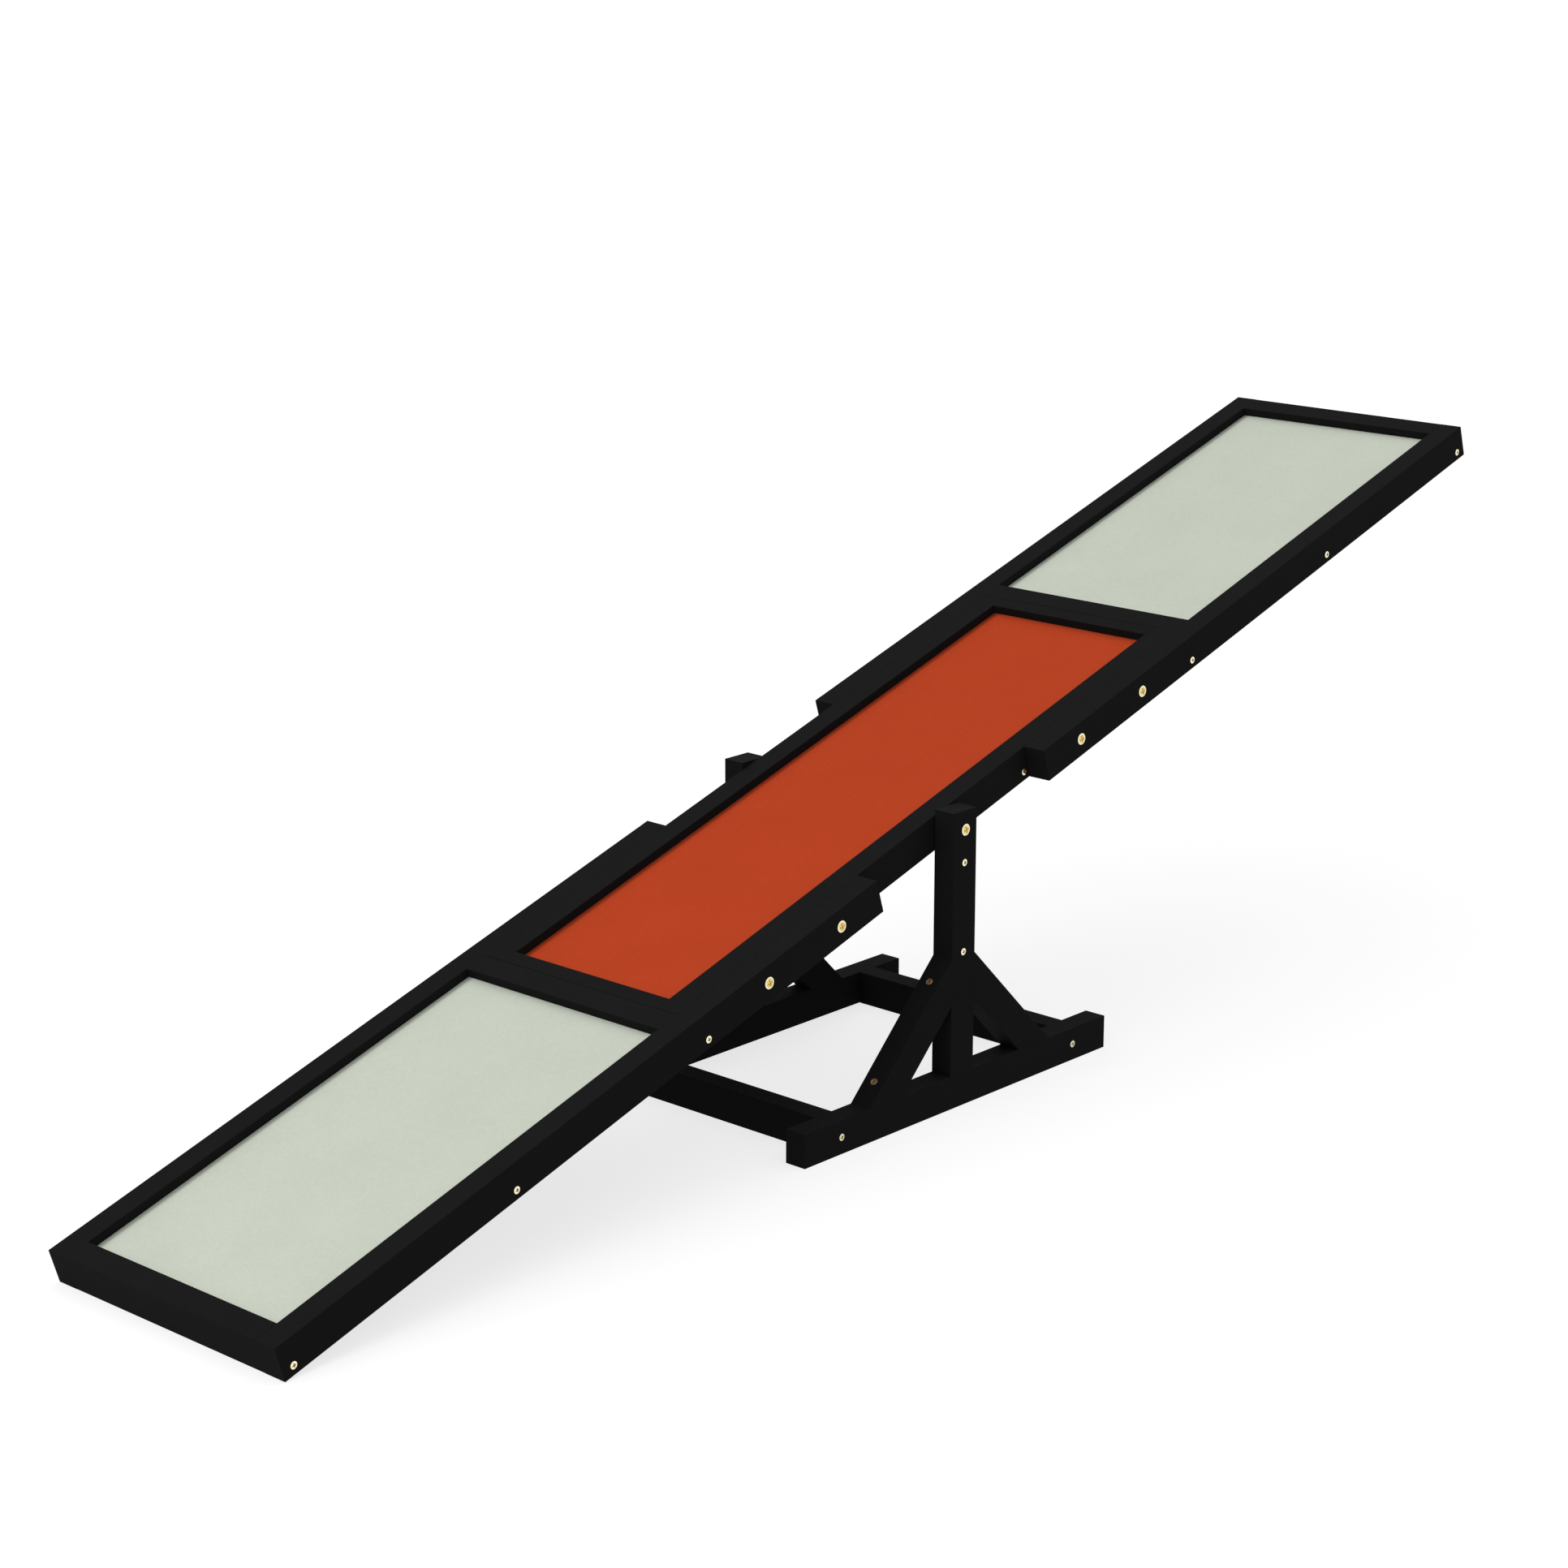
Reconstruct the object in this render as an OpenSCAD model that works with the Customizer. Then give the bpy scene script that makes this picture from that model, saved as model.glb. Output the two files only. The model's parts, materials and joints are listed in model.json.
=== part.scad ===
// Dog agility seesaw: a plank of three framed sections that tips on a low timber stand.
// Millimetres. X runs along the seesaw towards the raised end, Y across it to the far side,
// Z up. The origin is on the ground, straight below the middle of the pivot.

/* [Plank] */
// Length of the whole plank
plank_len = 1800; // [1600:10:2200]
// Width over the two outer rails
plank_w = 300; // [260:5:400]
// Length over which an outer rail lies beside the middle section's rail
overlap = 255; // [210:5:280]
// Thickness of the plank's rails, across the plank
rail_t = 25; // [22:1:30]
// Depth of the plank's rails, from top to underside
rail_d = 34; // [32:1:45]
// Thickness of the thin stock: the middle section's end slats and all the battens
slat_t = 17; // [12:1:20]
// Width of a batten, along the plank
batten_w = 34; // [20:1:50]
// Gap between the middle section and an end section's cross rail
section_gap = 0.3; // [0.2:0.1:2]
// Gap between the head of a middle batten's screw and the end of the outer rail beside it
batten_screw_gap = 2.5; // [1:0.5:6]
// Radius of the eased edges along the grain of all the timber
eased = 0.4; // [0.3:0.1:2]

/* [Panels] */
// Thickness of a panel with its grit coat
panel_t = 8; // [5:0.5:10]
// Depth of the walking face below the top of the frame
panel_recess = 9; // [5:0.5:12]
// Depth of the groove that holds a panel's edge
groove_deep = 5; // [3:0.5:7]
// Clearance above and below a panel in its groove
groove_fit = 0.2; // [0.1:0.05:0.4]
// Play between a panel's edge and the bottom of its groove
edge_play = 0.5; // [0.2:0.1:1]

/* [Stand] */
// Height of the posts above the ground
post_h = 300; // [270:5:340]
// Distance of the pivot below the top of a post
pivot_drop = 19; // [14:1:30]
// Thickness of the stand's timber, across the seesaw
stand_t = 24; // [20:1:30]
// Width of the stand's timber, seen from the side
stand_d = 34; // [30:1:45]
// Gap between a post and the rail that turns beside it
side_gap = 1; // [0.8:0.1:2]
// Length of each base rail
base_len = 457; // [400:1:700]
// Distance of a stand rail from the ends of the base rails
cross_inset = 40; // [20:1:60]
// Rise of a brace above its base rail, the same as its reach from the post
brace_reach = 120; // [90:5:140]

/* [Screws] */
// Shank diameter of the wood screws
screw_d = 4; // [3:0.5:5]
// Head diameter of the wood screws
screw_head_d = 7; // [6:0.5:9]
// Height of a wood screw's domed head above the timber
screw_rise = 0.5; // [0.3:0.1:2]
// Depth to which a wood screw goes into the last piece it joins
screw_bite = 25; // [15:1:30]
// Length of the two screws in the outer face of each post
post_screw_len = 20; // [12:1:22]
// Distance of the upper screw in a post below the top of the post
post_screw_upper = 52; // [45:1:60]
// Distance of the lower screw in a post below the top of the post
post_screw_lower = 142; // [100:1:150]
// Distance of a brace's screws from the ends of its sloping face
brace_screw_in = 28; // [22:1:29]
// Depth to which a brace's screw goes into the post or the base rail
brace_screw_bite = 17; // [10:1:20]
// Depth of a foot screw's head in the underside of the base rail
foot_sink = 1; // [0.5:0.5:3]
// Span of the cross recess in a wood screw's head
screw_cross = 4; // [3.6:0.2:5.2]
// Width of each slot of that recess
screw_slot = 1.2; // [0.8:0.1:1.6]
// Depth of a cross recess below the top of its head
cross_deep = 1; // [0.6:0.1:1.2]

/* [Bolts] */
// Shank diameter of the bolts
bolt_d = 6; // [5:0.5:8]
// Diameter of the rim of a bolt's head
bolt_rim_d = 11.5; // [11:0.5:16]
// Thickness of the rim of a bolt's head
bolt_rim_t = 0.7; // [0.5:0.1:2]
// Diameter of the dome of a bolt's head
bolt_dome_d = 9; // [8:0.5:10]
// Height of the dome above the rim
bolt_dome_rise = 0.6; // [0.5:0.1:2.5]
// Span of the cross recess in a bolt's head
bolt_cross = 6.8; // [5:0.2:7.4]
// Width of each slot of that recess
bolt_slot = 1.6; // [1:0.1:2]
// Outside diameter of a threaded insert
insert_d = 10; // [9:0.5:12]
// Length of a threaded insert
insert_len = 15; // [10:1:16]
// Distance of the first bolt from the free end of an outer rail
bolt_from_end = 57; // [40:1:60]
// Distance between the two bolts of an overlap
bolt_spacing = 103.5; // [80:0.5:110]
// Outside diameter of the pivot's washers
washer_d = 18; // [14:1:24]
// Running clearance between things that turn at the pivot
pivot_play = 0.3; // [0.2:0.05:0.5]

/* [Dowels] */
// Diameter of the dowels that hold a cross rail
dowel_d = 8; // [6:1:10]
// Depth of a dowel in each of its two pieces
dowel_deep = 18; // [12:1:20]
// Distance between the two dowels at one end of a cross rail
dowel_spacing = 16; // [12:1:20]

/* [Hidden] */

$fn = 48;

black_timber = "#1c1c1b";
pale_grit = "#c6cdbe";
red_grit = "#b54326";
brass = "#d8bf6a";
nylon = "#d9d9d2";
beech = "#c9a878";

// The low end is at -X and the high end at +X; the near side is at -Y and the far side at +Y
low = -1;
high = 1;
near = -1;
far = 1;
ends = [low, high];
sides = [near, far];

// Clearance of a screw, bolt, insert or dowel in its hole, on the radius and at its end
hole_fit = 0.05;
// How far a cut runs past the face that it opens
past = 1;
// Length of a wood screw's point, and the diameter of its blunt end
point_len = 1.5 * screw_d;
point_d = screw_d / 5;

// The plank is laid out flat, with the pivot at its origin; its three sections are equally long
half_len = plank_len / 2;
half_w = plank_w / 2;
half_d = rail_d / 2;
section_len = (half_len + overlap) / 1.5;
bay_half = half_len - section_len;
outer_face = half_w - rail_t;
inner_face = half_w - 2 * rail_t;
middle_half = section_len / 2;
slat_face = middle_half - slat_t;
cross_near = middle_half + section_gap;
cross_face = cross_near + rail_t;
end_face = half_len - rail_t;

// Heights within the depth of the frame, measured from the pivot's level
panel_top = half_d - panel_recess;
panel_bottom = panel_top - panel_t;
batten_bottom = panel_bottom - slat_t;
screw_w = panel_bottom - slat_t / 2;

// Places of the fasteners along the plank
end_rail_u = half_len - rail_t / 2;
end_batten_u = (end_face + middle_half - slat_t / 2) / 2;
slat_u = middle_half - slat_t / 2;
cross_u = cross_near + rail_t / 2;
middle_batten_u = bay_half - screw_head_d / 2 - batten_screw_gap;
bolt_u = [bay_half + bolt_from_end, bay_half + bolt_from_end + bolt_spacing];

// The plank's low end rests on the ground, which sets its tilt
pivot_h = post_h - pivot_drop;
tilt = asin(pivot_h / norm([half_len, half_d])) - atan(rail_d / plank_len);

// The stand
post_inner = outer_face + side_gap;
post_outer = post_inner + stand_t;
post_mid = post_inner + stand_t / 2;
base_half = base_len / 2;
stand_rail_x = base_half - cross_inset - stand_t / 2;
brace_screw_len = brace_screw_in + brace_screw_bite;

// A cuboid between two opposite corners, given in any order
module block(a, b) {
  low_corner = [for (i = [0:2]) min(a[i], b[i])];
  size = [for (i = [0:2]) abs(b[i] - a[i])];
  translate(low_corner)
    cube(size);
}

// The section of planed timber, with its corners eased
module planed_section(width, depth) {
  square([width - 2 * eased, depth], center = true);
  square([width, depth - 2 * eased], center = true);
  for (x = [-1, 1], y = [-1, 1])
    translate([x * (width / 2 - eased), y * (depth / 2 - eased)])
      circle(eased);
}

// A planed bar between two opposite corners, with its grain along "x", "y" or "z"
module bar(a, b, grain) {
  size = [for (i = [0:2]) abs(b[i] - a[i])];
  translate((a + b) / 2)
    if (grain == "x")
      rotate([90, 0, 90])
        linear_extrude(size.x, center = true)
          planed_section(size.y, size.z);
    else if (grain == "y")
      rotate([90, 0, 0])
        linear_extrude(size.y, center = true)
          planed_section(size.x, size.z);
    else
      linear_extrude(size.z, center = true)
        planed_section(size.x, size.y);
}

// Puts what is laid out flat, about the pivot, at the plank's place and tilt
module on_plank() {
  translate([0, 0, pivot_h])
    rotate([0, -tilt, 0])
      children();
}

// Turns what points up so that it points outwards from the near or the far side
module facing(side) {
  rotate([-90 * side, 0, 0])
    children();
}

// Screws and bolts are drawn upright: the timber's face is at zero and the shank runs down

module dome(diameter, rise) {
  radius = (diameter * diameter / 4 + rise * rise) / (2 * rise);
  rotate_extrude()
    intersection() {
      translate([0, rise - radius])
        circle(radius);
      square([diameter / 2, rise]);
    }
}

module cross_recess(top, span, slot) {
  for (turn = [0, 90])
    rotate([0, 0, turn])
      translate([-span / 2, -slot / 2, top - cross_deep])
        cube([span, slot, cross_deep + past]);
}

module screw_shank(length, grow) {
  seat = (screw_head_d - screw_d) / 2;
  translate([0, 0, -length + point_len])
    cylinder(d = screw_d + 2 * grow, h = length - point_len);
  translate([0, 0, -length])
    cylinder(d1 = point_d + 2 * grow, d2 = screw_d + 2 * grow, h = point_len);
  translate([0, 0, -seat])
    cylinder(d1 = screw_d + 2 * grow, d2 = screw_head_d + 2 * grow, h = seat);
}

module screw(length, rise = screw_rise) {
  difference() {
    union() {
      screw_shank(length, 0);
      dome(screw_head_d, rise);
    }
    cross_recess(rise, screw_cross, screw_slot);
  }
}

// The hole of a screw ends a little past the screw's point
module screw_hole(length) {
  screw_shank(length, hole_fit);
  translate([0, 0, -length - hole_fit])
    cylinder(d = point_d + 2 * hole_fit, h = point_d);
  cylinder(d = screw_head_d + 2 * hole_fit, h = past);
}

module bolt(length, lift = 0) {
  translate([0, 0, lift])
    difference() {
      union() {
        cylinder(d = bolt_rim_d, h = bolt_rim_t);
        translate([0, 0, bolt_rim_t])
          dome(bolt_dome_d, bolt_dome_rise);
      }
      cross_recess(bolt_rim_t + bolt_dome_rise, bolt_cross, bolt_slot);
    }
  translate([0, 0, -length])
    cylinder(d = bolt_d, h = length + lift);
}

module bolt_hole(length) {
  translate([0, 0, -length])
    cylinder(d = bolt_d + 2 * hole_fit, h = length + past);
}

// An insert lies sunk in the face at the given depth, and its hole goes a little deeper
module insert(depth) {
  translate([0, 0, -depth - insert_len])
    difference() {
      cylinder(d = insert_d, h = insert_len);
      translate([0, 0, -past])
        cylinder(d = bolt_d + 2 * hole_fit, h = insert_len + 2 * past);
    }
}

module insert_hole(depth) {
  translate([0, 0, -depth - insert_len - hole_fit])
    cylinder(d = insert_d + 2 * hole_fit, h = insert_len + hole_fit + past);
}

module dowel(grow) {
  translate([0, 0, -dowel_deep - grow])
    cylinder(d = dowel_d + 2 * grow, h = 2 * (dowel_deep + grow));
}

// Places of the plank's fasteners, on the outside of the rail that each goes in through

module end_frame_places() {
  for (end = ends, side = sides, u = [end_rail_u, end_batten_u])
    translate([end * u, side * half_w, screw_w])
      facing(side)
        children();
}

module overlap_screw_places() {
  for (end = ends, side = sides)
    translate([end * slat_u, side * half_w, screw_w])
      facing(side)
        children();
}

module middle_frame_places() {
  for (end = ends, side = sides)
    translate([end * middle_batten_u, side * outer_face, screw_w])
      facing(side)
        children();
}

module overlap_bolt_places() {
  for (end = ends, side = sides, u = bolt_u)
    translate([end * u, side * half_w, 0])
      facing(side)
        children();
}

module dowel_places() {
  for (end = ends, side = sides, level = [-1, 1])
    translate([end * cross_u, side * outer_face, level * dowel_spacing / 2])
      facing(side)
        children();
}

module pivot_places(face) {
  for (side = sides)
    translate([0, side * face, 0])
      facing(side)
        children();
}

// The room that a panel takes up: with play for the panel, and with fit for its grooves

module end_panel_room(end, play, fit) {
  reach = groove_deep - play;
  block([end * (cross_face - reach), -outer_face - reach, panel_bottom - fit],
        [end * (end_face + reach), outer_face + reach, panel_top + fit]);
}

module middle_panel_room(play, fit) {
  reach = groove_deep - play;
  block([-slat_face - reach, -inner_face - reach, panel_bottom - fit],
        [slat_face + reach, inner_face + reach, panel_top + fit]);
}

// Plank, end sections

module outer_rail(end, side) {
  color(black_timber)
    on_plank()
      difference() {
        bar([end * bay_half, side * outer_face, -half_d],
            [end * half_len, side * half_w, half_d], "x");
        end_panel_room(end, 0, groove_fit);
        end_frame_places() screw_hole(rail_t + screw_bite);
        overlap_screw_places() screw_hole(2 * rail_t + screw_bite);
        overlap_bolt_places() bolt_hole(rail_t + insert_len);
        dowel_places() dowel(hole_fit);
      }
}

module end_rail(end) {
  color(black_timber)
    on_plank()
      difference() {
        bar([end * end_face, -outer_face, -half_d],
            [end * half_len, outer_face, half_d], "y");
        end_panel_room(end, 0, groove_fit);
        end_frame_places() screw_hole(rail_t + screw_bite);
      }
}

module cross_rail(end) {
  color(black_timber)
    on_plank()
      difference() {
        bar([end * cross_near, -outer_face, -half_d],
            [end * cross_face, outer_face, half_d], "y");
        end_panel_room(end, 0, groove_fit);
        dowel_places() dowel(hole_fit);
      }
}

module end_batten(end) {
  color(black_timber)
    on_plank()
      difference() {
        translate([end * end_batten_u, 0, 0])
          bar([-batten_w / 2, -outer_face, batten_bottom],
              [batten_w / 2, outer_face, panel_bottom], "y");
        end_frame_places() screw_hole(rail_t + screw_bite);
      }
}

module end_panel(end) {
  color(pale_grit)
    on_plank()
      end_panel_room(end, edge_play, 0);
}

// Plank, middle section

module inner_rail(side) {
  color(black_timber)
    on_plank()
      difference() {
        bar([-middle_half, side * inner_face, -half_d],
            [middle_half, side * outer_face, half_d], "x");
        middle_panel_room(0, groove_fit);
        overlap_screw_places() screw_hole(2 * rail_t + screw_bite);
        middle_frame_places() screw_hole(rail_t + screw_bite);
        overlap_bolt_places() insert_hole(rail_t);
        pivot_places(outer_face) insert_hole(0);
      }
}

module middle_slat(end) {
  color(black_timber)
    on_plank()
      difference() {
        bar([end * slat_face, -inner_face, -half_d],
            [end * middle_half, inner_face, half_d], "y");
        middle_panel_room(0, groove_fit);
        overlap_screw_places() screw_hole(2 * rail_t + screw_bite);
      }
}

module middle_batten(end) {
  color(black_timber)
    on_plank()
      difference() {
        translate([end * middle_batten_u, 0, 0])
          bar([-batten_w / 2, -inner_face, batten_bottom],
              [batten_w / 2, inner_face, panel_bottom], "y");
        middle_frame_places() screw_hole(rail_t + screw_bite);
      }
}

module middle_panel() {
  color(red_grit)
    on_plank()
      middle_panel_room(edge_play, 0);
}

// Plank, fasteners

module end_frame_screws() {
  color(brass)
    on_plank()
      end_frame_places() screw(rail_t + screw_bite);
}

module overlap_screws() {
  color(brass)
    on_plank()
      overlap_screw_places() screw(2 * rail_t + screw_bite);
}

module middle_frame_screws() {
  color(brass)
    on_plank()
      middle_frame_places() screw(rail_t + screw_bite);
}

module overlap_bolts() {
  color(brass)
    on_plank()
      overlap_bolt_places() bolt(rail_t + insert_len);
}

module overlap_inserts() {
  color(brass)
    on_plank()
      overlap_bolt_places() insert(rail_t);
}

module cross_rail_dowels() {
  color(beech)
    on_plank()
      dowel_places() dowel(0);
}

// The pivot bolts are screwed into the inner rails, so they turn with the plank

module pivot_bolts() {
  color(brass)
    on_plank()
      pivot_places(post_outer) bolt(post_outer - outer_face + insert_len, pivot_play);
}

module pivot_inserts() {
  color(brass)
    on_plank()
      pivot_places(outer_face) insert(0);
}

module pivot_washers() {
  color(nylon)
    on_plank()
      pivot_places(outer_face)
        difference() {
          cylinder(d = washer_d, h = side_gap - pivot_play);
          translate([0, 0, -past])
            cylinder(d = bolt_d + 2 * hole_fit, h = side_gap + 2 * past);
        }
}

// Stand, places of its fasteners; the crosses of those on its sides lie as the plank's do

module base_screw_places() {
  for (end = ends, side = sides)
    translate([end * stand_rail_x, side * post_outer, stand_d / 2])
      rotate([0, -tilt, 0])
        facing(side)
          children();
}

module post_screw_places() {
  for (side = sides, drop = [post_screw_upper, post_screw_lower])
    translate([0, side * post_outer, post_h - drop])
      rotate([0, -tilt, 0])
        facing(side)
          children();
}

module foot_screw_places() {
  for (side = sides)
    translate([0, side * post_mid, foot_sink])
      rotate([180, 0, 0])
        children();
}

// A brace's screws stand square to its sloping face, at the same distance from both ends
module brace_screw_places() {
  step = brace_screw_in / sqrt(2);
  for (end = ends, side = sides, from_post = [step, brace_reach - step])
    translate([end * (stand_d / 2 + from_post), side * post_mid, stand_d + brace_reach - from_post])
      rotate([0, end * 45, 0])
        children();
}

// Stand, timber

module base_rail(side) {
  color(black_timber)
    difference() {
      bar([-base_half, side * post_inner, 0], [base_half, side * post_outer, stand_d], "x");
      base_screw_places() screw_hole(stand_t + screw_bite);
      brace_screw_places() screw_hole(brace_screw_len);
      foot_screw_places() screw_hole(stand_d + screw_bite);
    }
}

module stand_rail(end) {
  color(black_timber)
    difference() {
      translate([end * stand_rail_x, 0, 0])
        bar([-stand_t / 2, -post_inner, 0], [stand_t / 2, post_inner, stand_d], "y");
      base_screw_places() screw_hole(stand_t + screw_bite);
    }
}

module post(side) {
  color(black_timber)
    difference() {
      bar([-stand_d / 2, side * post_inner, stand_d],
          [stand_d / 2, side * post_outer, post_h], "z");
      on_plank() pivot_places(post_outer) bolt_hole(stand_t + past);
      post_screw_places() screw_hole(post_screw_len);
      brace_screw_places() screw_hole(brace_screw_len);
      foot_screw_places() screw_hole(stand_d + screw_bite);
    }
}

// A brace is a bar at 45 degrees, sawn off at the side of its post and the top of its base rail
module brace(end, side) {
  color(black_timber)
    difference() {
      intersection() {
        translate([end * (stand_d + brace_reach) / 2, side * post_mid, stand_d + brace_reach / 2])
          rotate([0, end * 45, 0])
            bar([-brace_reach, -stand_t / 2, -stand_d], [brace_reach, stand_t / 2, 0], "x");
        block([end * stand_d / 2, side * (post_inner - past), stand_d],
              [end * (stand_d / 2 + brace_reach), side * (post_outer + past), stand_d + brace_reach]);
      }
      brace_screw_places() screw_hole(brace_screw_len);
    }
}

// Stand, fasteners

module base_screws() {
  color(brass)
    base_screw_places() screw(stand_t + screw_bite);
}

module brace_screws() {
  color(brass)
    brace_screw_places() screw(brace_screw_len);
}

module post_screws() {
  color(brass)
    post_screw_places() screw(post_screw_len);
}

module foot_screws() {
  color(brass)
    foot_screw_places() screw(stand_d + screw_bite, foot_sink / 2);
}

outer_rail(low, near);  // low_near_rail
outer_rail(low, far);  // low_far_rail
end_rail(low);  // low_end_rail
cross_rail(low);  // low_cross_rail
end_batten(low);  // low_batten
end_panel(low);  // low_panel
outer_rail(high, near);  // high_near_rail
outer_rail(high, far);  // high_far_rail
end_rail(high);  // high_end_rail
cross_rail(high);  // high_cross_rail
end_batten(high);  // high_batten
end_panel(high);  // high_panel
inner_rail(near);  // middle_near_rail
inner_rail(far);  // middle_far_rail
middle_slat(low);  // middle_low_slat
middle_slat(high);  // middle_high_slat
middle_batten(low);  // middle_low_batten
middle_batten(high);  // middle_high_batten
middle_panel();
end_frame_screws();
overlap_screws();
middle_frame_screws();
overlap_bolts();
overlap_inserts();
cross_rail_dowels();
pivot_bolts();
pivot_inserts();
pivot_washers();
base_rail(near);  // near_base_rail
base_rail(far);  // far_base_rail
stand_rail(low);  // low_stand_rail
stand_rail(high);  // high_stand_rail
post(near);  // near_post
post(far);  // far_post
brace(low, near);  // near_low_brace
brace(high, near);  // near_high_brace
brace(low, far);  // far_low_brace
brace(high, far);  // far_high_brace
base_screws();
brace_screws();
post_screws();
foot_screws();
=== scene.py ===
# %% [markdown]
# # Dressing a dog agility seesaw
# The seesaw is a plank of three framed sections that tips on a low timber stand. Its timber is cut and
# placed already, so this lesson adds what the eye reads as real: matt black paint over planed softwood, a
# fine grit coat on the three walking panels, and yellow plated screws and bolts with proper heads, recesses
# and threads. The frame is loaded first and nothing in it is moved.

# %% Load the frame
import json
import math

import bpy
from mathutils import Euler, Matrix, Vector


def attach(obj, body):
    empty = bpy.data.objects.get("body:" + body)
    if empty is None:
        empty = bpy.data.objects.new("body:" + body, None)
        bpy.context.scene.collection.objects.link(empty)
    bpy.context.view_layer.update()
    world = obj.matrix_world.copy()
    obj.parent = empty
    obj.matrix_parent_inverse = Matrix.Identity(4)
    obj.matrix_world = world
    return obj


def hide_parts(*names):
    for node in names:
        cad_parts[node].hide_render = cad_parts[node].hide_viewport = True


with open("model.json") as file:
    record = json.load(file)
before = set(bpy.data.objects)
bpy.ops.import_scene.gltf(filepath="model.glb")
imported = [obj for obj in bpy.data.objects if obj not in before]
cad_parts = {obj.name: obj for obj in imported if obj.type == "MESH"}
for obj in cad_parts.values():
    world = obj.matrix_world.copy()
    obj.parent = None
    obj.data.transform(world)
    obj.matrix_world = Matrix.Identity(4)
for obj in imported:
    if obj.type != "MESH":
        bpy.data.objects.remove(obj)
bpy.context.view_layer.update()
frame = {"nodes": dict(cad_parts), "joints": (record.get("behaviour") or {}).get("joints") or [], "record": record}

# %% [markdown]
# The plank lies at a slope, with its low end on the ground. Pieces are easier to shape flat and level, so the
# slope is worked out once, from the plank's length, its depth and the height of the pivot, and each finished
# piece is then turned by it about the pivot. Everything is in metres.

# %% The slope of the plank
MM = 0.001
PLANK_LENGTH = 1800 * MM
PLANK_DEPTH = 34 * MM

pivot = Vector(frame["joints"][0]["pos_m"])
half_plank = Vector((PLANK_LENGTH, PLANK_DEPTH)) / 2
tilt = math.asin(pivot.z / half_plank.length) - math.atan(PLANK_DEPTH / PLANK_LENGTH)
plank_turn = Matrix.Rotation(-tilt, 4, "Y")
plank_place = Matrix.Translation(pivot) @ plank_turn

print("the plank slopes at", round(math.degrees(tilt), 3), "degrees")

# %% [markdown]
# Three small helpers come back in every step. An operator acts on everything that is selected, so one helper
# leaves just one object selected and active. Another gives a piece its place: it turns the mesh itself and
# leaves the object at the origin, because the patterns of the materials are measured from there. The last one
# measures a solid of the frame from any side, by turning a copy of its points.


# %% Helpers for objects
SAME_POINT = 0.001 * MM


def select_only(piece):
    if bpy.context.mode != "OBJECT":
        bpy.ops.object.mode_set(mode="OBJECT")
    bpy.ops.object.select_all(action="DESELECT")
    piece.select_set(True)
    bpy.context.view_layer.objects.active = piece


def settle(piece, place):
    piece.data.transform(place @ piece.matrix_world)
    piece.matrix_world = Matrix.Identity(4)
    piece.data.update()


def extent(piece, back):
    points = [back @ vertex.co for vertex in piece.data.vertices]
    lowest = Vector([min(point[i] for point in points) for i in range(3)])
    highest = Vector([max(point[i] for point in points) for i in range(3)])
    return lowest, highest


def apply_modifiers(piece):
    select_only(piece)
    for modifier in list(piece.modifiers):
        bpy.ops.object.modifier_apply(modifier=modifier.name)


# %% [markdown]
# Colours are written as the hex codes that a paint chart gives, and Blender works in linear light, so one
# function turns the one into the other. A second one adds a shader node: its settings are keywords, and its
# inputs are either plain values or the outputs of other nodes.


# %% Helpers for materials
WHITE = (1, 1, 1, 1)
# Most values of a noise lie between these two, so a ramp between two colours starts and ends there
NOISE_LOW = 0.3
NOISE_HIGH = 0.7


def linear(code):
    parts = [int(code[i : i + 2], 16) / 255 for i in (1, 3, 5)]
    return [p / 12.92 if p <= 0.04045 else ((p + 0.055) / 1.055) ** 2.4 for p in parts] + [1]


def add_node(material, kind, inputs=(), **settings):
    made = material.node_tree.nodes.new("ShaderNode" + kind)
    for name, value in settings.items():
        setattr(made, name, value)
    for name, value in dict(inputs).items():
        if isinstance(value, bpy.types.NodeSocket):
            material.node_tree.links.new(value, made.inputs[name])
        else:
            made.inputs[name].default_value = value
    return made


def new_finish(name):
    material = bpy.data.materials.new(name)
    material.use_nodes = True
    material.node_tree.nodes.clear()
    return material


def between(material, factor, low, high):
    """Goes from one colour to another as factor rises; low and high are each a (place, hex colour)."""
    ramp = add_node(material, "ValToRGB", {"Fac": factor})
    for element, (place, code) in zip(ramp.color_ramp.elements, (low, high)):
        element.position = place
        element.color = linear(code)
    return ramp.outputs["Color"]


# %% [markdown]
# The frame and the stand are planed softwood under two thin coats of matt black paint. Close up, such paint
# still shows what is below it: the hard lines of the growth rings stand a few hundredths of a millimetre
# proud, and the brush leaves fine marks along the grain. The rings are cylinders round the heart of the tree,
# so a wave in rings about a line beside each piece gives long lines on the sides and arcs on the sawn ends
# from one pattern. The Mapping node, as a texture space, turns the pattern to the grain and sets its size in
# metres. The paint hardly reflects, and its colour drifts a little, as hand-rubbed paint does.

# %% Matt black paint on planed softwood
RING_SPACING = 3.2 * MM
RING_RELIEF = 0.05 * MM
RING_BEND = 8 * MM
RING_BEND_RUN = 350 * MM
RING_BEND_WIDTH = 30 * MM
# A wave texture of scale 1 has a line every 0.314 of a unit
WAVE_LINE = 0.314
BRUSH_WIDTH = 0.9 * MM
BRUSH_RUN = 45 * MM
BRUSH_RELIEF = 0.03 * MM
BLOTCH = 60 * MM
PAINTED_ARRIS = 0.3 * MM
PAINT_DARK = "#171717"
PAINT_LIGHT = "#191919"
PAINT_SMOOTHEST = 0.66
PAINT_ROUGHEST = 0.8
PAINT_IOR = 1.5
PAINT_REFLECTION = 0.02
BRUSH_SHARE = 0.35


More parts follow.
